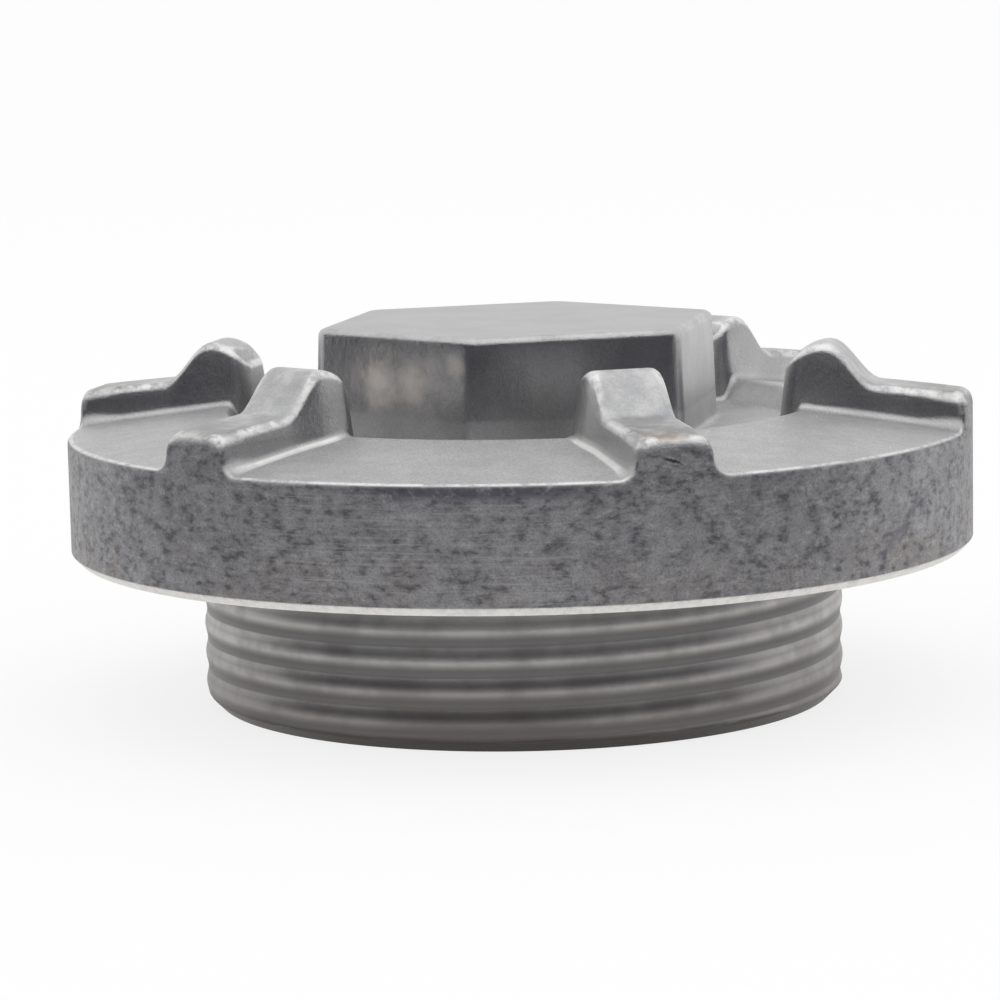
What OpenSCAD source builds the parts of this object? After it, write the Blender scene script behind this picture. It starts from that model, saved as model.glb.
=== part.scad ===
// Oil drain plug: a cast cap with an outside thread below its flange, a hexagon in
// a recess and six wrench ribs above it, and a blind spring bore in its skirt.
// Millimetres, +Z up, origin at the centre of the rim that the plug stands on.

/* [Thread] */
// Major diameter of the outside thread
thread_d = 33; // [30:0.5:37]
// Pitch of the thread
thread_pitch = 1.5; // [1:0.25:2]
// Depth of the thread, which is shallow with broad crests
thread_depth = 0.4; // [0.3:0.05:0.95]
// Direction, seen from above, in which a crest starts at the rim (degrees)
thread_start = -73; // [-180:1:180]
// Length of the threaded skirt below the flange
skirt_h = 7.8; // [6:0.1:16]
// Lead-in chamfer at the end of the thread
lead_in = 0.65; // [0.4:0.05:1]
// Height of the plain run-out between the thread and the flange
runout_h = 0.5; // [0.3:0.1:1.2]
// How far the run-out stands out over the thread crests
runout_over = 0.1; // [0.05:0.05:0.4]

/* [Flange] */
// Outer diameter of the flange
flange_d = 46.4; // [43:0.2:56]
// Thickness of the flange at its rim
flange_t = 6.1; // [4.5:0.1:9]
// Machined bevel on the lower edge of the rim
rim_bevel = 0.38; // [0.2:0.02:0.8]
// Rounding of the upper edge of the rim
rim_round = 0.25; // [0.2:0.05:0.8]
// Rise of the conical top face from the rim to the edge of the recess
crown = 1.1; // [0.6:0.1:1.6]
// Depth of the recess round the hexagon, below its edge
recess_depth = 1.2; // [0.6:0.1:2]
// Width of the sloping wall of the recess
recess_wall = 1.2; // [0.6:0.1:1.4]

/* [Hexagon] */
// Width of the hexagon across its flats, at its foot
hex_af = 19; // [16:0.5:21]
// Height of the hexagon over the floor of the recess
hex_h = 5.55; // [4:0.05:9]
// Casting draft of the six flats (degrees)
hex_draft = 2; // [0.5:0.5:4]
// Rounding of the six upright corners
hex_corner = 1.2; // [0.4:0.1:2]
// Rounding of the upper edge of the hexagon
hex_edge = 0.4; // [0.2:0.1:1]

/* [Ribs] */
// Number of ribs round the hexagon
rib_count = 6; // [2:1:8]
// Space for the socket between a flat of the hexagon and the end of a rib
socket_gap = 4.5; // [3:0.1:5]
// How far the edge of the recess lies behind the inner ends of the ribs
recess_back = 1.2; // [0.8:0.1:1.4]
// Width of a rib over its top
rib_w = 3.6; // [2.4:0.1:5]
// Draft of the sides of a rib (degrees)
rib_draft = 7; // [2:0.5:10]
// Height of the crest of a rib over the underside of the flange
rib_crest_h = 10.45; // [9.4:0.05:11]
// Height of a rib at the foot of its slope, over the underside of the flange
rib_foot_h = 8.4; // [8.1:0.05:9]
// Height of a rib at the rim, over the underside of the flange
rib_end_h = 7.95; // [7.6:0.05:8.4]
// Distance from the inner end of a rib to its crest
rib_crest_back = 2; // [1.4:0.05:3]
// Length of the slope from the crest down to the foot
rib_slope = 2.6; // [2:0.05:4]
// Drop of the rib from its crest to its inner end
rib_nose = 1; // [0.2:0.1:1.2]
// Rounding of the two upright corners at the inner end of a rib
rib_corner = 0.9; // [0.3:0.1:1.1]
// Rounding of the upper edges of a rib
rib_round = 0.5; // [0.2:0.05:0.7]
// Rounding of the upper edge of a rib at its outer end
rib_end_round = 0.7; // [0.3:0.1:1]
// Fillet between the sides of a rib and the top face
rib_fillet = 0.5; // [0.2:0.05:0.8]

/* [Spring bore] */
// Diameter of the blind bore for the spring
bore_d = 25; // [18:0.5:26]
// Depth of the bore from the rim
bore_depth = 9.3; // [4:0.1:11]
// Chamfer at the mouth of the bore
bore_chamfer = 0.5; // [0.2:0.1:0.8]

/* [Hidden] */
$fn = 96;
thread_r = thread_d / 2;
root_r = thread_r - thread_depth;
runout_r = thread_r + runout_over;
flange_r = flange_d / 2;
flange_z = skirt_h;
rim_z = flange_z + flange_t;
hex_z = rim_z + crown - recess_depth;
hex_top = hex_z + hex_h;
rib_in = hex_af / 2 + socket_gap;
recess_r = rib_in + recess_back;
rib_crest_x = rib_in + rib_crest_back;
rib_foot_x = rib_crest_x + rib_slope;
// Metal left on the rim of the casting, which turning takes off
turning = 1;
// Columns round the thread, and the rows of one turn: height in pitches, radius
cols = 72;
turn = [[-0.13, thread_r], [0.13, thread_r], [0.38, root_r], [0.62, root_r]];

// Eased step from 1 down to 0 while t goes from 0 to 1
function ease(t) = (1 + cos(180 * max(0, min(1, t)))) / 2;
// Height of the top face at radius r: a cone, and inside it the recess
function face_z(r) = rim_z + crown * (flange_r - max(r, recess_r)) / (flange_r - recess_r)
    - recess_depth * (1 - ease((recess_r - r) / recess_wall));
// Height of the top of a rib, x from the axis
function rib_z(x) = flange_z + (
    x < rib_crest_x ? rib_crest_h - rib_nose * pow((rib_crest_x - x) / rib_crest_back, 2)
    : x < rib_foot_x ? rib_foot_h + (rib_crest_h - rib_foot_h) * ease((x - rib_crest_x) / rib_slope)
    : rib_foot_h + (rib_end_h - rib_foot_h) * (x - rib_foot_x) / (flange_r - rib_foot_x)
) - end_drop(min(rib_end_round, max(0, x - flange_r + rib_end_round)));
// Rounding of the outer end of a rib, d past the start of the rounding
function end_drop(d) = rib_end_round - sqrt(pow(rib_end_round, 2) - pow(d, 2));

// Faces of a loft through n rings of m points each, closed by both end rings, in one
// face each or in strips from side to side
function loft_faces(n, m, strips = false) = let (
    cap = strips ? [for (i = [0:m / 2 - 2]) [i, i + 1, m - 2 - i, m - 1 - i]] : [[for (i = [0:m - 1]) i]])
    concat(
        cap,
        [for (k = [0:n - 2], i = [0:m - 1]) each [
            [k * m + i, (k + 1) * m + i, (k + 1) * m + (i + 1) % m],
            [k * m + i, (k + 1) * m + (i + 1) % m, k * m + (i + 1) % m]]],
        [for (f = cap) [for (i = [len(f) - 1:-1:0]) (n - 1) * m + f[i]]]);

// Threaded skirt: a helical solid, turned to length with its lead-in chamfer
module thread_skirt() {
    intersection() {
        helix_solid();
        rotate_extrude() polygon([
            [0, 0], [thread_r - lead_in, 0], [thread_r + 1, lead_in + 1],
            [thread_r + 1, flange_z - runout_h / 2], [0, flange_z - runout_h / 2]]);
    }
}

// Solid whose surface winds up with the thread, open to no side
module helix_solid() {
    m = len(turn);
    turns = ceil(skirt_h / thread_pitch) + 3;
    rows = m * turns;
    function at(i, j) = i * rows + j;
    pts = [for (i = [0:cols - 1], j = [0:rows - 1])
        let (a = thread_start + 360 * i / cols, r = turn[j % m][1])
        [r * cos(a), r * sin(a), thread_pitch * (i / cols + floor(j / m) - 2 + turn[j % m][0])]];
    foot = concat([for (i = [0:cols - 1]) at(i, 0)], [for (j = [m:-1:1]) at(0, j)]);
    head = concat([for (i = [0:cols - 1]) at(i, rows - 1)], [for (j = [1:m]) at(cols - 1, rows - 1 - j)]);
    c = len(pts);
    polyhedron(
        points = concat(pts, [[0, 0, -1.5 * thread_pitch], [0, 0, (turns - 1.5) * thread_pitch]]),
        faces = concat(
            [for (i = [0:cols - 2], j = [0:rows - 2]) each [
                [at(i, j), at(i, j + 1), at(i + 1, j + 1)], [at(i, j), at(i + 1, j + 1), at(i + 1, j)]]],
            [for (j = [0:rows - 2 - m]) each [
                [at(cols - 1, j), at(cols - 1, j + 1), at(0, j + 1 + m)],
                [at(cols - 1, j), at(0, j + 1 + m), at(0, j + m)]]],
            [for (k = [0:len(foot) - 1]) [c, foot[k], foot[(k + 1) % len(foot)]]],
            [for (k = [0:len(head) - 1]) [c + 1, head[(k + 1) % len(head)], head[k]]]),
        convexity = 8);
}

// Casting of the flange, left oversize at the rim, with the plain run-out below it
module flange_casting() {
    rotate_extrude() polygon(concat(
        [[0, flange_z - runout_h], [runout_r, flange_z - runout_h], [runout_r, flange_z],
         [flange_r - rim_bevel, flange_z], [flange_r + turning, flange_z + rim_bevel + turning],
         [flange_r + turning, rim_z - rim_round]],
        [for (a = [0:22.5:90]) [flange_r - rim_round * (1 - cos(a)), rim_z - rim_round * (1 - sin(a))]],
        [for (t = [0:1/6:1]) [recess_r - recess_wall * t, face_z(recess_r - recess_wall * t)]],
        [[0, hex_z]]));
}

// Hexagon lofted with draft, rounded corners and a rounded upper edge
module hexagon() {
    steps = 6;
    levels = concat(
        [[hex_z - 0.5, 0], [hex_top - hex_edge, 0]],
        [for (a = [22.5:22.5:90]) [hex_top - hex_edge * (1 - sin(a)), hex_edge * (1 - cos(a))]]);
    pts = [for (l = levels, c = [0:5], s = [0:steps])
        let (flat = hex_af / 2 - (l[0] - hex_z) * tan(hex_draft), r = hex_corner - l[1] / 2,
             d = (flat - l[1] - r) / cos(30), a = 60 * c + 30, b = a - 30 + 60 * s / steps)
        [d * cos(a) + r * cos(b), d * sin(a) + r * sin(b), l[0]]];
    polyhedron(points = pts, faces = loft_faces(len(levels), 6 * (steps + 1)), convexity = 2);
}

// Half the width of a rib over its top at x, narrowing round its inner corners
function rib_half(x) = let (d = max(0, rib_in + rib_corner - x))
    rib_w / 2 - rib_corner + sqrt(max(0, pow(rib_corner, 2) - pow(d, 2)));

// Half of a rib's cross-section at x: sideways position and height. Its fillet runs
// out at the recess, where its sides go on down into the floor
function rib_side(x) = let (
    z1 = rib_z(x), w = rib_half(x), toe = w + rib_fillet + (z1 - rim_z) * tan(rib_draft),
    z0 = x < recess_r + rib_fillet ? hex_z - 2 * rib_fillet : face_z(norm([x, toe])),
    f = min(rib_fillet, (z1 - z0) / 2.2), e = min(rib_round, (z1 - z0) / 2.2),
    foot = w + (z1 - z0) * tan(rib_draft)) concat(
        [[foot + f, flange_z + flange_t / 2]],
        [for (a = [0:30:90]) [foot + f * (1 - sin(a)) - f * (1 - cos(a)) * tan(rib_draft), z0 - 0.03 + f * (1 - cos(a))]],
        [for (a = [0:30:90]) [w - e * (1 - cos(a)), z1 - e * (1 - sin(a))]]);

// One rib along +X, from its sloped inner end to past the rim
module rib() {
    xs = concat(
        [for (a = [0:22.5:90]) rib_in + rib_corner * (1 - cos(a))],
        [rib_in + (rib_corner + rib_crest_back) / 2],
        [for (k = [0:6]) rib_crest_x + rib_slope * k / 6],
        [(rib_foot_x + flange_r) / 2],
        [for (a = [0:22.5:90]) flange_r - rib_end_round * (1 - sin(a))], [flange_r + turning / 2]);
    pts = [for (k = [0:len(xs) - 1]) let (
        half = rib_side(xs[k]), n = len(half), lean = k == 0 ? tan(rib_draft) : 0)
        each concat(
            [for (p = half) [xs[k] + lean * (p[1] - rib_z(xs[k])), p[0], p[1]]],
            [for (q = [n - 1:-1:0]) [xs[k] + lean * (half[q][1] - rib_z(xs[k])), -half[q][0], half[q][1]]])];
    polyhedron(points = pts, faces = loft_faces(len(xs), len(pts) / len(xs), true), convexity = 4);
}

// Flange with its ribs, both turned to the diameter of the rim
module flange() {
    intersection() {
        union() {
            flange_casting();
            for (k = [0:rib_count - 1]) rotate(360 * k / rib_count) rib();
        }
        cylinder(r = flange_r, h = hex_top);
    }
}

// Blind bore for the spring, with its chamfered mouth
module spring_bore() {
    translate([0, 0, -1]) cylinder(d = bore_d, h = bore_depth + 1);
    translate([0, 0, -1]) cylinder(d1 = bore_d + 2 * (bore_chamfer + 1), d2 = bore_d, h = bore_chamfer + 1);
}

module drain_plug() {
    color([0.62, 0.62, 0.64]) difference() {
        union() {
            flange();
            thread_skirt();
            hexagon();
        }
        spring_bore();
    }
}

drain_plug();
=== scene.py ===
from math import atan2, cos, hypot, pi, radians, sin, sqrt, tan

import bmesh
import bpy
from mathutils import Matrix, Vector


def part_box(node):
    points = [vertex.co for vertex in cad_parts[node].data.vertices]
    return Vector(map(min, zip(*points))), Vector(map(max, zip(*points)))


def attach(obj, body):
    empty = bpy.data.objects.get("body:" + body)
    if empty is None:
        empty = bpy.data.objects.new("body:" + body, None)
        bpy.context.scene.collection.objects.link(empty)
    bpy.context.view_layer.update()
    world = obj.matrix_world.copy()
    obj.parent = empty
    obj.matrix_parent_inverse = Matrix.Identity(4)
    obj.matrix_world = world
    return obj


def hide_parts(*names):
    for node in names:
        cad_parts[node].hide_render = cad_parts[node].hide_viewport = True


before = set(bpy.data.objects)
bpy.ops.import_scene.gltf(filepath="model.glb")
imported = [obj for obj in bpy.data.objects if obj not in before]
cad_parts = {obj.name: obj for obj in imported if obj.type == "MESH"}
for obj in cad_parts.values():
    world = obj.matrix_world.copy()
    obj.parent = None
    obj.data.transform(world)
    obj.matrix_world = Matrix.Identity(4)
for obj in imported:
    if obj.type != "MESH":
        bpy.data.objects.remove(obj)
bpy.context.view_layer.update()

# The ribs: six of them stand across the flats of the hexagon and guide the socket
# on. Each has a crest, a slope down to a low straight part, drafted sides, rounded
# edges and a fillet. All of the plug is one aluminium die-casting, so it is one skin
# of points, in millimetres, which is laid in patches and then welded.
MM = 0.001
rim_r, _, top_z = (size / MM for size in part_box("drain_plug")[1])
flange_z = 7.8  # the flange's underside
rim_z = 13.9  # the flange's top at the rim
face_rise = 1.1  # from the rim to the recess
recess_r = 15.2
recess_wall = 1.2
recess_depth = 1.2
rim_round = 0.25
trimmed_r = rim_r - rim_round
rib_in = 14.0
rib_half = 1.8
rib_draft = radians(7)
rib_round = 0.5
rib_fillet = 0.5
rib_corner = 0.9
end_round = 0.7
flare_x = 20.6  # from here to the rim a rib's roundings grow
fillet_flare = 0.35
round_flare = 0.8 * fillet_flare
crest_x = 16.0
foot_x = 18.6
crest_h = 10.45  # this and the next two are over the underside
foot_h = 8.4
end_h = 7.95
nose_drop = 1.0  # from the crest to the inner end
nose_fillet = 0.35
nose_points = 5
turn_x = rib_in + rib_corner
turn_y = rib_half - rib_corner
corner_angles = (5, 10, 15, 20, 25, 31, 38, 46, 56, 67, 78, 90)
skin = bmesh.new()


def lay(rows, closed=False):
    """Adds a patch of the skin: faces between rows of as many points each."""
    laid = [[skin.verts.new(Vector(p) * MM) for p in row] for row in rows]
    count = len(laid[0])
    for one, other in zip(laid, laid[1:]):
        for i in range(count if closed else count - 1):
            j = (i + 1) % count
            skin.faces.new((one[i], one[j], other[j], other[i]))


def mix(a, b, t):
    """The value a share t of the way from a to b."""
    return a + (b - a) * t


def spread(count, start=0.0, end=1.0):
    """Evenly spaced values from start to end, both of them included."""
    return [mix(start, end, i / (count - 1)) for i in range(count)]


def eased(share):
    """A share from 0 to 1 that starts and ends gently, held between the two."""
    return (1 - cos(pi * min(max(share, 0), 1))) / 2


def turned(points, angle):
    """Points turned about the plug's axis."""
    c, s = cos(angle), sin(angle)
    return [(x * c - y * s, x * s + y * c, z) for x, y, z in points]


def face_z(r):
    """Height of the top face: a cone up to the edge of the recess, and the recess."""
    cone_z = rim_z + face_rise * (rim_r - max(r, recess_r)) / (rim_r - recess_r)
    return cone_z - recess_depth * eased((recess_r - r) / recess_wall)


def rib_z(x):
    """Height of a rib's top at x from the axis."""
    if x < crest_x:
        return flange_z + crest_h - nose_drop * ((crest_x - x) / (crest_x - rib_in)) ** 2
    if x < foot_x:
        return flange_z + mix(crest_h, foot_h, eased((x - crest_x) / (foot_x - crest_x)))
    in_round = min(max(x - rim_r + end_round, 0), end_round)
    low_z = flange_z + mix(foot_h, end_h, (x - foot_x) / (rim_r - foot_x))
    return low_z - end_round + sqrt(end_round**2 - in_round**2)


def toe_way(top, foot, fillet):
    """How far the toe of a rib's side lies out from its edge line."""
    return (fillet + (top - foot - fillet) * sin(rib_draft)) / cos(rib_draft)


def rib_section(top, foot, rounding, fillet, inset):
    """Side of a rib from its top's edge to its toe: (way out from the edge line, height)."""
    up, level = sin(rib_draft), cos(rib_draft)
    edge_out = -rounding * (1 - up) / level
    toe_out = toe_way(top, foot, fillet)
    edge, hollow = rounding - inset, fillet + inset
    side = [(edge_out + edge * cos(a), top - rounding + edge * sin(a)) for a in spread(6, pi / 2, rib_draft)]
    toe = [(toe_out - hollow * cos(a), foot + fillet - hollow * sin(a)) for a in spread(7, rib_draft, pi / 2)]
    wall = [(mix(side[-1][0], toe[0][0], t), mix(side[-1][1], toe[0][1], t)) for t in (0.33, 0.67)]
    return side + wall + toe


def placed(x, y, end_r):
    """A point of a rib's plan, with the rib's outer end kept on the round rim."""
    if x > turn_x:
        x = mix(turn_x, sqrt(end_r**2 - y**2), (x - turn_x) / (trimmed_r - turn_x))
    return x, y


def rib_column(station, end_r=trimmed_r, inset=0.0):
    """Points from a rib's middle line over its edge and down its side to the face."""
    x, y, out_x, out_y = station
    top, foot = rib_z(placed(x, y, end_r)[0]), rim_z
    flare = eased((x - flare_x) / (trimmed_r - flare_x))
    fillet = mix(rib_fillet, nose_fillet, -out_x) + fillet_flare * flare
    for _ in range(5):  # the toe settles on the cone
        out = toe_way(top, foot, fillet)
        foot = face_z(hypot(*placed(x + out * out_x, y + out * out_y, end_r)))
    section = rib_section(top, foot, rib_round + round_flare * flare, fillet, inset)
    edge_x, edge_y = x + section[0][0] * out_x, y + section[0][0] * out_y
    inner = [placed(mix(max(x, turn_x), edge_x, t), mix(0, edge_y, t), end_r) for t in (0, 0.33, 0.67)]
    side = [(*placed(x + out * out_x, y + out * out_y, end_r), z) for out, z in section]
    return [(a, b, rib_z(a) - inset) for a, b in inner] + side


def mirrored(points):
    """The same points on the other side of the rib's middle plane."""
    return [(x, -y, z) for x, y, z in points]


side_x = spread(6, trimmed_r, 22.3) + spread(7, 21.9, foot_x + 0.4) + spread(15, foot_x + 0.1, turn_x)
edge_line = [(x, -rib_half, 0, -1) for x in side_x]
for a in (radians(a) for a in corner_angles):
    edge_line.append((turn_x - rib_corner * sin(a), -turn_y - rib_corner * cos(a), -sin(a), -cos(a)))
corner_end = len(edge_line) - 1
nose_line = [(rib_in, y, -1, 0) for y in spread(nose_points + 2, -turn_y, turn_y)[1:-1]]
edge_line = edge_line + nose_line + [(x, -y, out_x, -out_y) for x, y, out_x, out_y in reversed(edge_line)]
rib_loops = [list(loop) for loop in zip(*[rib_column(station) for station in edge_line])]
toe = rib_loops[-1]
nose_r = hypot(*toe[corner_end][:2])
for i in range(corner_end + 1, corner_end + 1 + nose_points):
    toe[i] = (sqrt(nose_r**2 - toe[i][1] ** 2), toe[i][1], toe[i][2])

# The flange's face: a cone between the ribs, cast, with a recess turned into it round
# the hexagon, where the socket goes. On each side of a rib it is laid in arcs from the
# rib's toe to the line half-way to the next rib.
face_rows = 13
face_loops = []
for t in spread(face_rows + 1)[1:]:
    loop = []
    for x, y, z in toe[: corner_end + 1]:
        r, angle = hypot(x, y), mix(atan2(y, x), -pi / 6, t)
        loop.append((r * cos(angle), r * sin(angle), z))
    face_loops.append(loop)
face_patch = [toe[: corner_end + 1]] + face_loops
inner_arc = [loop[-1] for loop in reversed(face_loops)]
inner_arc = inner_arc + toe[corner_end : corner_end + nose_points + 2] + mirrored(reversed(inner_arc))

# The hexagon stands in the recess and takes a 19 mm socket. It is part of the casting,
# with a little draft on its flats, rounded corners and a rounded upper edge.
hex_half = 9.5
hex_draft = radians(2)
hex_corner = 1.2
hex_edge = 0.4
hex_fillet = 0.35
turn_points = 6
flat_points = len(inner_arc) - 2 * turn_points + 2


def hex_side(half, corner):
    """One sixth of a rounded hexagon, from middle to middle of two corners: (x, y)."""
    reach = (half - corner) / cos(pi / 6)
    centre_x, centre_y = reach * cos(pi / 6), reach * sin(pi / 6)
    turn = [(centre_x + corner * cos(a), centre_y + corner * sin(a)) for a in spread(turn_points, 0, pi / 6)]
    flat = [(half, y) for y in spread(flat_points, -centre_y, centre_y)]
    return [(x, -y) for x, y in reversed(turn)] + flat[1:-1] + turn


hex_foot = hex_side(hex_half + hex_fillet, hex_corner + hex_fillet)
floor_z = face_z(0)
hex_loops = [inner_arc]
for t in spread(7)[1:-1]:
    loop = []
    for (x, y, z), (end_x, end_y) in zip(inner_arc, hex_foot):
        r = mix(hypot(x, y), hypot(end_x, end_y), t)
        angle = mix(atan2(y, x), atan2(end_y, end_x), t)
        loop.append((r * cos(angle), r * sin(angle), floor_z))
    hex_loops.append(loop)
for a in spread(5, pi / 2, 0):
    out, up = hex_fillet * (1 - cos(a)), hex_fillet * (1 - sin(a))
    hex_loops.append([(x, y, floor_z + up) for x, y in hex_side(hex_half + out, hex_corner + out)])
shoulder_z = top_z - hex_edge
for t in (0.05, 0.35, 0.65, 0.95, 1):
    z = mix(floor_z + hex_fillet, shoulder_z, t)
    shoulder_half = hex_half - (z - floor_z) * tan(hex_draft)
    hex_loops.append([(x, y, z) for x, y in hex_side(shoulder_half, hex_corner)])
for a in spread(7, 0, pi / 2)[1:]:
    out = hex_edge * (1 - cos(a))
    side = hex_side(shoulder_half - out, hex_corner - out)
    hex_loops.append([(x, y, shoulder_z + hex_edge * sin(a)) for x, y in side])
for share in (0.97, 0.8, 0.6, 0.4, 0.2, 0):
    hex_loops.append([(x * share, y * share, top_z) for x, y in side])

for sixth in range(6):
    for patch in (rib_loops, face_patch, [mirrored(loop) for loop in face_patch], hex_loops):
        lay([turned(loop, sixth * pi / 3) for loop in patch])

# The rim: the casting's outer wall, with the ribs' ends flush in it. It was turned,
# its upper edges were rounded over all round, and its lower edge has a bevel. The
# points of its rows give the skin its columns all the way down.
bevel = 0.38
hold = 0.06  # from an edge to a row of points that keeps its shading tight
seat_r = 17.3  # inner edge of the sealing face


def rim_row(bend):
    """Points along the rim's rounding where it has bent by an angle, for one sixth."""
    r = rim_r - rim_round * (1 - sin(bend))
    inset = rim_round * (1 - cos(bend))
    points = rib_column(edge_line[0], r, inset)
    for loop in face_loops:
        angle = atan2(loop[0][1], loop[0][0])
        points.append((r * cos(angle), r * sin(angle), face_z(r) - inset))
    return points[::-1] + mirrored(points[1:])


def all_round(row):
    """One sixth's row of points, carried on round the whole plug."""
    return [point for sixth in range(6) for point in turned(row, sixth * pi / 3)[:-1]]


rim_rows = [all_round(rim_row(bend)) for bend in spread(6, 0, pi / 2)]
bearings = [atan2(y, x) % (2 * pi) for x, y, _ in rim_rows[-1]]


def rings(sizes):
    """Rows of points round the axis, from a list of (radius, height)."""
    return [[(r * cos(a), r * sin(a), z) for a in bearings] for r, z in sizes]


bevel_z = flange_z + bevel
wall = [(rim_r, z) for z in (13.3, 12.7, 11.5, 10.3, 9, bevel_z + 0.25, bevel_z + hold, bevel_z)]
underside = [(r, flange_z) for r in (rim_r - bevel, rim_r - bevel - hold, rim_r - bevel - 0.4, 20, seat_r)]
lay(rim_rows + rings(wall + underside), closed=True)

# The threaded skirt below the flange: M33 x 1.5, right-handed, turned on the casting
# under a short plain collar, with a chamfer that leads it into the sump. The rows
# of points wind up with the thread and are held between its two ends.
thread_r = 16.5
pitch = 1.5
thread_depth = 0.12
lead_in = 0.65
collar_r = 16.6
collar_z = flange_z - 0.5
thread_start = radians(-73)  # where a crest meets the skirt's end
per_pitch = 16  # rows of points


def thread_point(angle, z):
    """A point of the thread at an angle and a height, held between the thread's ends."""
    z = min(max(z, 0), collar_z)
    off_crest = z / pitch - (angle - thread_start) / (2 * pi)
    height = (1 + cos(2 * pi * off_crest)) / 2
    r = min(thread_r - thread_depth * (1 - height), thread_r - lead_in + z)
    return r * cos(angle), r * sin(angle), z


collar = [(seat_r, flange_z), (collar_r + hold, flange_z), (collar_r, flange_z)]
collar += [(collar_r, flange_z - hold), (collar_r, collar_z + hold), (collar_r, collar_z)]
thread_end = [thread_point(a, collar_z) for a in bearings]
lay(rings(collar) + [thread_end], closed=True)
windings = [bearings[0] - 2 * pi * (bearings[0] > pi)]
for bearing in bearings[1:] + bearings[:1]:
    windings.append(windings[-1] + (bearing - windings[-1]) % (2 * pi))
thread_rows = []
for k in range(-2 * per_pitch, 6 * per_pitch):
    climb = [(a, pitch * (k / per_pitch + (a - thread_start) / (2 * pi))) for a in windings]
    thread_rows.append([thread_point(a, z) for a, z in climb])
lay(thread_rows)

# The bore: the skirt is cast hollow round a drafted core and bored out to take the
# spring of the engine's strainer, with a chamfered mouth and a flat floor.
bore_r = 12.5
bore_chamfer = 0.5
bore_floor = 9.3
floor_round = 0.4
mouth_r = bore_r + bore_chamfer
bore = [(15.3, 0), (14.2, 0), (mouth_r + hold, 0), (mouth_r, 0)]
bore += [(bore_r, bore_chamfer), (bore_r, bore_chamfer + hold), (bore_r, 3.5), (bore_r, 6.5)]
for a in spread(5, 0, pi / 2):
    bore.append((bore_r - floor_round * (1 - cos(a)), bore_floor - floor_round * (1 - sin(a))))
bore += [(r, bore_floor) for r in (10, 7, 4, 2, 0)]
lay([[thread_point(a, 0) for a in bearings]] + rings(bore), closed=True)

# The casting as one piece: its patches are welded, its edges kept sharp where they
# are, and each point gets how much the metal bends there, in 1/mm and positive on
# an edge, because that is where handling rubs it bright.
weld_gap = 0.0005 * MM
crease = radians(38)
bmesh.ops.remove_doubles(skin, verts=skin.verts, dist=weld_gap)
bmesh.ops.recalc_face_normals(skin, faces=skin.faces)
for face in skin.faces:
    face.smooth = True
for edge in skin.edges:
    edge.smooth = edge.calc_face_angle(pi) < crease
wear = skin.verts.layers.float.new("wear")
for vert in skin.verts:
    bends = []
    for edge in vert.link_edges:
        other = edge.other_vert(vert)
        way = other.co - vert.co
        bends.append((other.normal - vert.normal).dot(way) / way.length_squared * MM)
    vert[wear] = sum(bends) / len(bends)
mesh = bpy.data.meshes.new("plug_casting")
skin.to_mesh(mesh)
skin.free()
plug = bpy.data.objects.new("plug_casting", mesh)
bpy.context.collection.objects.link(plug)
evener = plug.modifiers.new("even_normals", "WEIGHTED_NORMAL")
evener.keep_sharp = True
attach(plug, "root")
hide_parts("drain_plug")

# The metal: bare die-cast aluminium, turned in places. Its masks are 1 on one part of
# the plug and 0 elsewhere, by the place in millimetres and the way the skin faces, and
# all of it is written as sums on sockets of its shader.


class Wire:
    """A shader tree, or a socket in it, on which sums and nodes can be written."""

    def __init__(self, tree, socket=None):
        self.tree, self.socket = tree, socket

    def node(self, kind, settings=None, values=None, out=0):
        """Adds a node: first its settings, then the values or links of its sockets."""
        made = self.tree.nodes.new("ShaderNode" + kind)
        for name, setting in (settings or {}).items():
            setattr(made, name, setting)
        for socket, value in (values or {}).items():
            if isinstance(value, Wire):
                self.tree.links.new(value.socket, made.inputs[socket])
            else:
                made.inputs[socket].default_value = value
        return Wire(self.tree, made.outputs[out] if made.outputs else None)

    def maths(self, operation, first, second=0.0):
        """Adds a Math node."""
        return self.node("Math", {"operation": operation}, {0: first, 1: second})

    def __add__(self, other):
        return self.maths("ADD", self, other)

    def __sub__(self, other):
        return self.maths("SUBTRACT", self, other)

    def __rsub__(self, other):
        return self.maths("SUBTRACT", other, self)

    def __mul__(self, other):
        return self.maths("MULTIPLY", self, other)

    __radd__, __rmul__ = __add__, __mul__

    def rise(self, start, end):
        """0 before start and 1 after end, with a smooth climb between them."""
        settings = {"interpolation_type": "SMOOTHSTEP"}
        return self.node("MapRange", settings, {0: self, 1: start, 2: end, 3: 0.0, 4: 1.0})

    def between(self, first, second):
        """A colour from the first to the second one, by this value."""
        return self.node("Mix", {"data_type": "RGBA"}, {0: self, 6: first, 7: second}, out=2)

    def under(self, share, colour):
        """This colour with another one laid over it, by a share of 0 to 1."""
        return share.between(self, colour)

    def stretched(self, along_x, along_y, along_z):
        """This place with each of its axes scaled."""
        return self.node("VectorMath", {"operation": "MULTIPLY"}, {0: self, 1: (along_x, along_y, along_z)})

    def noise(self, scale, detail=3.0, rough=0.55):
        """Noise over this place in the object, scaled in features per millimetre."""
        values = {"Vector": self, "Scale": scale, "Detail": detail, "Roughness": rough}
        return self.node("TexNoise", {}, values)


def new_shader(name):
    """A material with an empty tree, and the tree to write in."""
    material = bpy.data.materials.new(name)
    material.use_nodes = True
    material.node_tree.nodes.clear()
    return material, Wire(material.node_tree)


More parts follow.
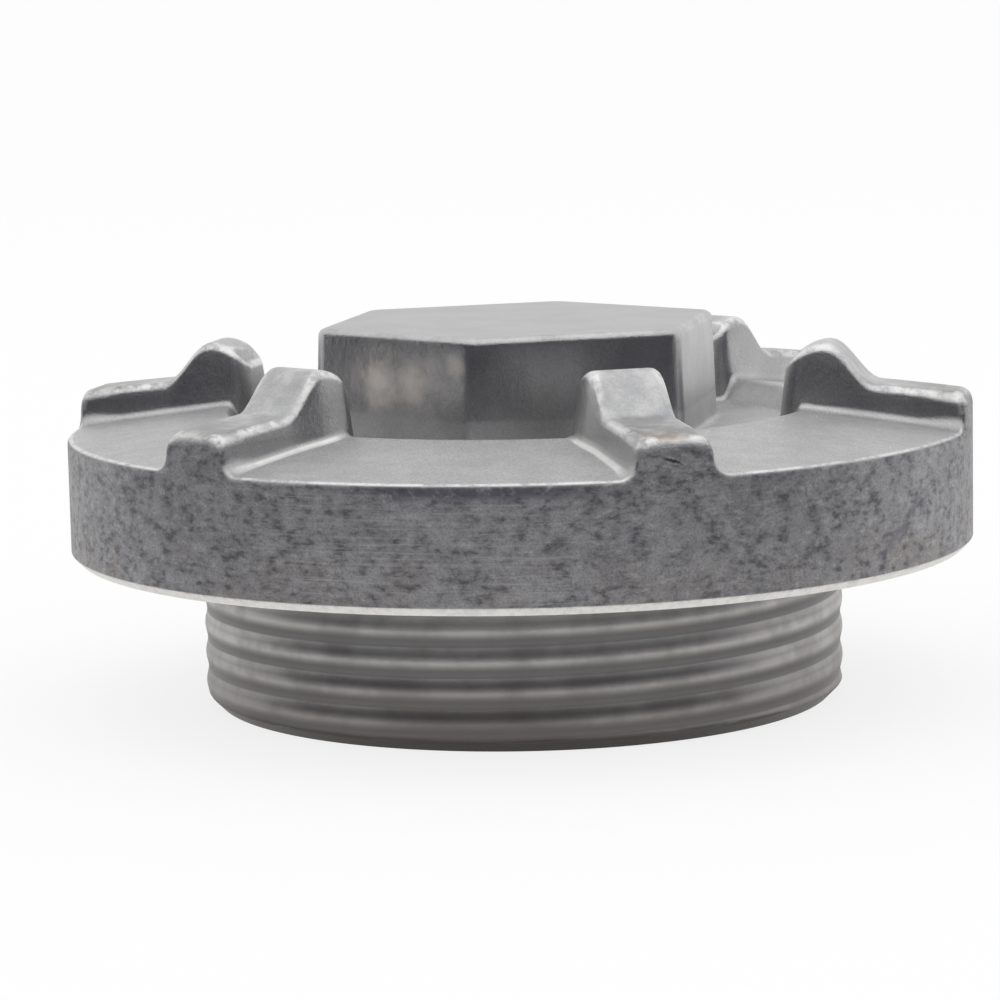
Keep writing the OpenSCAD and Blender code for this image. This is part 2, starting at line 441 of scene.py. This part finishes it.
aluminium, shader = new_shader("die_cast_aluminium")
in_object = shader.node("TexCoord", out=3)
place = shader.node("VectorMath", {"operation": "SCALE"}, {0: in_object, 3: 1 / MM})
x, y, z = (shader.node("SeparateXYZ", {}, {0: place}, out=axis) for axis in range(3))
r = shader.maths("SQRT", x * x + y * y)
angle = shader.maths("ARCTAN2", y, x)
normal = shader.node("NewGeometry", out=1)
facing = shader.node("SeparateXYZ", {}, {0: normal}, out=2)
bend = shader.node("Attribute", {"attribute_name": "wear"}, out=2)
threaded = z.rise(flange_z + 0.02, flange_z - 0.02)
rib_end = r.rise(rim_r - 0.48, rim_r - 0.22) * z.rise(rim_z + 0.7, rim_z + 1.0) * facing.rise(0.85, 0.6)
wall_side = shader.maths("MAXIMUM", r.rise(rim_r - 0.12, rim_r - 0.03), rib_end) * (1 - threaded)
raised = z.rise(rim_z + 1.2, rim_z + 1.5)
hexagonal = raised * r.rise(12.6, 12.3)
ribbed = raised * (1 - hexagonal)
top_face = (1 - raised) * (1 - wall_side) * (1 - threaded) * facing.rise(0.7, 0.95)
mottle = place.noise(0.35, 4)
cloud = place.noise(0.9, 5, 0.6)
speck = place.noise(2.6, 4, 0.6)
grain = place.noise(9.0, 4, 0.65)
spark = place.noise(2.2, 5, 0.7)

# The cast skin of face, ribs and hexagon: dull grey from the die, fine-grained, a
# little lighter on the face as painted light from above, and with a painted highlight
# along the toes of the two ribs in front.
skin_dark, skin_light = (0.46, 0.46, 0.465, 1), (0.56, 0.56, 0.56, 1)
hex_top_dark, hex_top_light = (0.435, 0.435, 0.435, 1), (0.48, 0.48, 0.48, 1)
face_dark, face_light = (0.53, 0.53, 0.535, 1), (0.6, 0.6, 0.605, 1)
pore_grey = (0.25, 0.25, 0.26, 1)
# The colour of the painted highlight along the front ribs' toes.
toe_highlight_colour = (0.86, 0.85, 0.83, 1)
cast = mottle.rise(0.3, 0.7).between(skin_dark, skin_light)
hex_top = mottle.rise(0.35, 0.65).between(hex_top_dark, hex_top_light)
cast = cast.under(facing.rise(0.9, 0.98) * hexagonal, hex_top)
patchy = (mottle * 0.5 + cloud * 0.5).rise(0.38, 0.62)
# Painted light: the face's colours are lifted for the light it catches from above.
cast = cast.under(top_face, patchy.between(face_dark, face_light))
cast = cast.under(grain.rise(0.62, 0.35) * (0.3 + 0.15 * top_face), pore_grey)
# Painted highlight along the toe fillets of the two ribs in front.
toe_highlight = (bend + (grain - 0.5) * 0.8).rise(-0.3, -0.9) * z.rise(rim_z + 1.9, rim_z + 1.6)
toe_highlight = toe_highlight * facing.rise(0.5, 0.75) * facing.rise(0.99, 0.93)
toe_highlight = toe_highlight * angle.rise(-2.55, -2.4) * angle.rise(-0.6, -0.75)
toe_highlight = toe_highlight * r.rise(recess_r + 0.2, recess_r + 0.9)
cast = cast.under(toe_highlight * (0.3 + cloud), toe_highlight_colour)

# The hexagon's flats are darker towards their foot, and pale warm patches lie on the
# flat in front on the left: (place along it, height, half width, half height, share).
foot_shade = (0.22, 0.22, 0.23, 1)
pale_patch_tan = (0.66, 0.61, 0.56, 1)
left_flat = (-0.5, -0.866, 0)
pale_patch_spots = ((0.2, 17.0, 4.2, 2.0, 0.55), (-0.86, 16.9, 1.3, 1.5, 0.6))
pale_patch_spots += ((1.35, 16.9, 1.3, 1.3, 0.4), (4.2, 17.9, 0.8, 0.7, 0.5))
# Painted shade: the flats darken towards their foot in the recess.
low_flat = hexagonal * z.rise(17.0, 15.2) * facing.rise(0.5, 0.2)
cast = cast.under(low_flat * 0.3, foot_shade)
toward_left = shader.node("VectorMath", {"operation": "DOT_PRODUCT"}, {0: normal, 1: left_flat}, out=1)
along = x * 0.866 - y * 0.5
pale_patches = 0.0
for spot_along, spot_z, wide, tall, share in pale_patch_spots:
    off_x, off_z = (along - spot_along) * (1 / wide), (z - spot_z) * (1 / tall)
    away = shader.maths("SQRT", off_x * off_x + off_z * off_z) + (cloud - 0.5) * 1.3 + (spark - 0.5) * 0.5
    pale_patches = away.rise(1.3, 0.1) * share + pale_patches
pale_patches = pale_patches * hexagonal * toward_left.rise(0.9, 0.98)
cast = cast.under(pale_patches * 0.9, pale_patch_tan)

# The ribs' tops: painted darker towards the rim as shade on their low straight parts,
# mottled where sockets have rubbed the crests, with a brown stain at the outer end of the
# front one.
low_top_shade = (0.27, 0.265, 0.26, 1)
rust_brown = (0.3, 0.17, 0.09, 1)
rubbed, tarnished, bright_speck = (0.72, 0.72, 0.71, 1), (0.36, 0.37, 0.4, 1), (0.8, 0.8, 0.8, 1)
front_rib = -1.06
# Painted shade on the ribs' low straight tops towards the rim.
low_top = ribbed * facing.rise(0.5, 0.95) * r.rise(18.8, 21.5)
cast = cast.under(low_top * (0.6 + mottle * 0.6), low_top_shade)
stain_off = shader.maths("ABSOLUTE", angle - front_rib) * 20.0
stain = stain_off.rise(1.2, 0.3) * r.rise(21.2, 22.2) * ribbed * spark.rise(0.35, 0.6)
cast = cast.under(stain * 0.7, rust_brown)
rib_top = ribbed * facing.rise(0.3, 0.8)
cast = cast.under(rib_top * cloud.rise(0.42, 0.72) * 0.5, rubbed)
cast = cast.under(rib_top * cloud.rise(0.52, 0.28) * 0.5, tarnished)
cast = cast.under(rib_top * speck.rise(0.6, 0.75) * 0.35, bright_speck)

# The rim's wall: turned metal gone dark with heat and oil, with darker flecks and
# fine turning lines that show most in front, where its top also has a dark band.
rim_light, rim_dark, rim_soot = (0.35, 0.35, 0.362, 1), (0.25, 0.245, 0.255, 1), (0.2, 0.195, 0.205, 1)
rim_brown = (0.32, 0.29, 0.27, 1)
fleck_dark, fleck_light, rim_pore = (0.09, 0.09, 0.1, 1), (0.5, 0.49, 0.48, 1), (0.13, 0.13, 0.14, 1)
line_light = (0.5, 0.5, 0.5, 1)
band_dark = (0.1, 0.095, 0.12, 1)
lines = place.stretched(0.15, 0.15, 8.0).noise(1.0, 4, 0.65)
fleck = place.stretched(1.6, 1.6, 3.1).noise(1.0, 4, 0.62)
rim_metal = cloud.rise(0.35, 0.68).between(rim_light, rim_dark)
rim_metal = rim_metal.under(mottle.rise(0.42, 0.62) * 0.35, rim_soot)
rim_metal = rim_metal.under(z.rise(11.5, 8.8) * mottle.rise(0.4, 0.6) * 0.5, rim_brown)
rim_metal = rim_metal.under(fleck.rise(0.47, 0.66) * cloud.rise(0.34, 0.58) * 0.85, fleck_dark)
rim_metal = rim_metal.under(fleck.rise(0.47, 0.3) * 0.5, fleck_light)
rim_metal = rim_metal.under(grain.rise(0.55, 0.3) * 0.6, rim_pore)
turning = angle.rise(-2.02, -1.75) * angle.rise(-1.12, -1.4)
rim_metal = rim_metal.under(turning * lines.rise(0.5, 0.68) * 0.35, fleck_light)
rim_metal = rim_metal.under(lines.rise(0.55, 0.75) * 0.12, line_light)
dark_band = z.rise(13.0, 13.5) * angle.rise(-1.75, -1.6) * angle.rise(-1.15, -1.35)
rim_metal = rim_metal.under(dark_band * spark.rise(0.3, 0.5) * 0.8, band_dark)

# Marks of use on the rim: a slanting scuff on the right, and a short gouge in the
# end of the front rib, cut into the metal with a bump.
scuff_dark, gouge_dark = (0.14, 0.14, 0.17, 1), (0.03, 0.03, 0.032, 1)
scuff_at, scuff_z, scuff_slant = -0.456, 10.3, 1.37
gouge_at, gouge_z, gouge_level, gouge_up = -1.058, 14.75, 0.92, 0.38
scuff_way = (angle - scuff_at) * rim_r - (z - scuff_z) * scuff_slant + (cloud - 0.5) * 1.2
scuff = scuff_way.rise(-0.6, 0.0) * scuff_way.rise(0.6, 0.0) * z.rise(8.6, 9.4) * z.rise(12.4, 11.4)
rim_metal = rim_metal.under(scuff * 0.5, scuff_dark)
gouge_way = (angle - gouge_at) * rim_r
gouge_along = gouge_way * gouge_level - (z - gouge_z) * gouge_up
gouge_across = gouge_way * gouge_up + (z - gouge_z) * gouge_level + (spark - 0.5) * 0.3
gouge_off = shader.maths("SQRT", gouge_along * gouge_along * 2.4 + gouge_across * gouge_across * 60.0)
gouge = gouge_off.rise(1.2, 0.3)
rim_metal = rim_metal.under(gouge * wall_side * 0.92, gouge_dark)
colour = wall_side.between(cast, rim_metal)

# The thread: turned and then handled, with painted highlights on its crests and upper
# flanks, painted shade in its valleys and on its lower flanks, a collar painted lighter
# against the shade under the flange, painted shade growing towards its lower end and most
# in front, and a chamfer at its end painted dark as shade.
valley_shade, crest_highlight, upper_flank_highlight = (0.2, 0.197, 0.197, 1), (0.52, 0.505, 0.492, 1), (0.5, 0.49, 0.48, 1)
collar_painted_light = (0.72, 0.7, 0.69, 1)
stain_dark, low_thread_shade, lower_flank_shade = (0.17, 0.16, 0.155, 1), (0.16, 0.145, 0.14, 1), (0.12, 0.115, 0.11, 1)
chamfer_shade = (0.05, 0.045, 0.04, 1)
# Painted highlight on the crests and painted shade in the valleys.
crest = r.rise(thread_r - 0.75 * thread_depth, thread_r - 0.1 * thread_depth)
stains = place.noise(0.5, 4)
thread_metal = crest.between(valley_shade, crest_highlight)
# Painted highlight on the upper flanks, which face up.
upper_flank = facing.rise(0.0, 0.12) * (1 - crest)
thread_metal = thread_metal.under(upper_flank * 0.95, upper_flank_highlight)
# Painted light on the collar under the flange.
thread_metal = thread_metal.under(z.rise(6.3, 7.2) * 0.7, collar_painted_light)
thread_metal = thread_metal.under(stains.rise(0.4, 0.65) * 0.35, stain_dark)
# Painted shade: the thread grows darker towards its lower end, most in front.
front_arc = angle.rise(-1.95, -1.6) * angle.rise(-1.05, -1.35)
thread_metal = thread_metal.under(z.rise(4.6, 0.8) * (0.55 + 0.35 * front_arc), low_thread_shade)
# Painted shade on the lower flanks, which face down.
thread_metal = thread_metal.under(facing.rise(0.0, -0.3) * 0.7, lower_flank_shade)
# Painted shade on the chamfer at the thread's end.
thread_metal = thread_metal.under(z.rise(0.8, 0.4) * 0.9, chamfer_shade)
colour = threaded.between(colour, thread_metal)

# The bare machined faces: the flange's underside, the skirt's end and the bore have
# rings from the tool, and the bevel on the rim's lower edge is painted bright as a highlight.
turned_dark, turned_light = (0.4, 0.4, 0.4, 1), (0.58, 0.58, 0.575, 1)
bevel_highlight = (0.8, 0.78, 0.75, 1)
bored = r.rise(mouth_r + 0.1, mouth_r + 0.05) * z.rise(bore_floor + 1, bore_floor + 0.5)
machined = shader.maths("MAXIMUM", facing.rise(-0.9, -0.97), bored)
tool_marks = shader.node("CombineXYZ", {}, {0: r * 5.0, 1: z * 5.0}).noise(1.0, 3, 0.6)
colour = colour.under(machined, tool_marks.rise(0.35, 0.7).between(turned_dark, turned_light))
# Painted highlight on the bevel under the rim.
bevelled = z.rise(bevel_z + hold, bevel_z) * r.rise(rim_r - 0.46, rim_r - 0.4) * facing.rise(-0.95, -0.85)
colour = colour.under(bevelled * (0.65 + 0.35 * spark.rise(0.35, 0.6)), bevel_highlight)

# Wear and finish: the edges are rubbed bright in patches, least on the hexagon, and
# the whole is metal with a little dull skin on its rim, face and pale patches.
worn_bright = (0.86, 0.85, 0.84, 1)
recess_edge = r.rise(recess_r + 0.5, recess_r + 0.1) * z.rise(rim_z + 1.7, rim_z + 1.3)
rim_edge_low = (1 - raised) * facing.rise(0.85, 0.6)
worn = bend.rise(0.35, 1.05) * (1 - machined) * (spark * 0.5 + cloud * 0.5).rise(0.38, 0.56)
worn = worn * (1 - threaded) * (1 - recess_edge) * (1 - bevelled) * (1 - rim_edge_low)
colour = colour.under(worn * (0.72 - 0.57 * hexagonal), worn_bright)
dull = 0.35 * wall_side * (1 - worn) + 0.2 * top_face + 0.5 * pale_patches
roughness = 0.36 - 0.06 * worn + 0.14 * (grain - 0.5) + 0.12 * wall_side + 0.14 * top_face + 0.08 * threaded
height = grain * 0.4 + speck * 0.8 * raised + wall_side * lines * 0.5
height = height + machined * tool_marks * 0.6 - gouge * wall_side * 3.0
bump = shader.node("Bump", {}, {"Height": height, "Strength": 0.5, "Distance": 0.05 * MM})
metal = {"Base Color": colour, "Metallic": 1 - dull, "Roughness": roughness, "Normal": bump}
shader.node("OutputMaterial", {}, {0: shader.node("BsdfPrincipled", {}, metal)})
plug.data.materials.append(aluminium)

# The studio's floor: a wide pale paper that the plug stands on. It looks white to the
# camera, to glossy and to transmitted rays, and keeps the plug's shadow.
floor_half = 12.0
paper_z = -0.02 * MM
paper_grey = (0.95, 0.95, 0.95, 1)
corner_ways = ((-1, -1), (1, -1), (1, 1), (-1, 1))
paper_mesh = bpy.data.meshes.new("floor")
paper_points = [(floor_half * way_x, floor_half * way_y, paper_z) for way_x, way_y in corner_ways]
paper_mesh.from_pydata(paper_points, [], [(0, 1, 2, 3)])
paper = bpy.data.objects.new("floor", paper_mesh)
bpy.context.collection.objects.link(paper)
pale_paper, shader = new_shader("pale_paper")
camera_ray, glossy_ray, transmission_ray = (shader.node("LightPath", out=ray) for ray in (0, 3, 6))
seen = shader.maths("MAXIMUM", shader.maths("MAXIMUM", camera_ray, glossy_ray), transmission_ray)
matt = shader.node("BsdfDiffuse", {}, {0: paper_grey})
white = shader.node("Emission", {}, {0: (1, 1, 1, 1), 1: 1.0})
shader.node("OutputMaterial", {}, {0: shader.node("MixShader", {}, {0: seen * 0.8, 1: matt, 2: white})})
paper_mesh.materials.append(pale_paper)

# The studio's surround: an even white light from all sides.
surround = bpy.data.worlds.new("studio")
bpy.context.scene.world = surround
surround.use_nodes = True
surround.node_tree.nodes.clear()
shader = Wire(surround.node_tree)
shader.node("OutputWorld", {}, {0: shader.node("Background", {}, {0: (1, 1, 1, 1), 1: 0.95})})

# A dark felt card curves round the front of the plug, out of the picture, and gives
# the metal something dark to reflect. Its profile is (way from the axis, height).
card_profile = [(62, 0.4), (120, 0.4), (200, 0.4), (235, 6), (255, 30), (262, 80), (262, 170)]
card_angles = [radians(a) for a in range(-175, 6, 10)]
felt_black = (0.06, 0.057, 0.07, 1)
card_points = [(d * cos(a) * MM, d * sin(a) * MM, z * MM) for a in card_angles for d, z in card_profile]
rows = len(card_profile)
card_faces = []
for i in range(len(card_angles) - 1):
    for k in range(i * rows, i * rows + rows - 1):
        card_faces.append((k, k + 1, k + 1 + rows, k + rows))
card_mesh = bpy.data.meshes.new("dark_card")
card_mesh.from_pydata(card_points, [], card_faces)
card = bpy.data.objects.new("dark_card", card_mesh)
bpy.context.collection.objects.link(card)
felt, shader = new_shader("dark_felt")
shader.node("OutputMaterial", {}, {0: shader.node("BsdfDiffuse", {}, {0: felt_black})})
card_mesh.materials.append(felt)
card.visible_camera = False
card.visible_diffuse = False
card.visible_shadow = False

# A round softbox hangs over the plug and firms up its shadow a little.
softbox = bpy.data.lights.new("softbox", "AREA")
softbox.shape = "DISK"
softbox.size = 0.6
softbox.energy = 0.2
lamp = bpy.data.objects.new("softbox", softbox)
bpy.context.collection.objects.link(lamp)
lamp.matrix_world = Matrix.Translation((0, -0.02, 0.4))

# The camera stands where the photograph was taken from: low in front, a little to
# the right of the middle, and turned a little about its own axis.
tilt = radians(8.52)
roll = radians(1.143)
azimuth = Matrix.Rotation(radians(12), 3, "Z")
distance = 195 * MM
aim = Vector((0, 0, 8.18 * MM))
back = azimuth @ Vector((0, -cos(tilt), sin(tilt)))
upright = azimuth @ Vector((0, sin(tilt), cos(tilt)))
across = azimuth @ Vector((1, 0, 0))
right = cos(roll) * across - sin(roll) * upright
up = sin(roll) * across + cos(roll) * upright
camera_data = bpy.data.cameras.new("camera")
camera_data.lens = 135.49
camera_data.sensor_width = 36
camera_data.shift_x = -0.02217
camera_data.shift_y = 0.0338
camera_data.clip_start = 0.01
camera_data.clip_end = 100
camera = bpy.data.objects.new("camera", camera_data)
bpy.context.collection.objects.link(camera)
stand = Matrix.Translation(aim + distance * back)
camera.matrix_world = stand @ Matrix((right, up, back)).transposed().to_4x4()
bpy.context.scene.camera = camera
bpy.context.scene.view_settings.view_transform = "Standard"
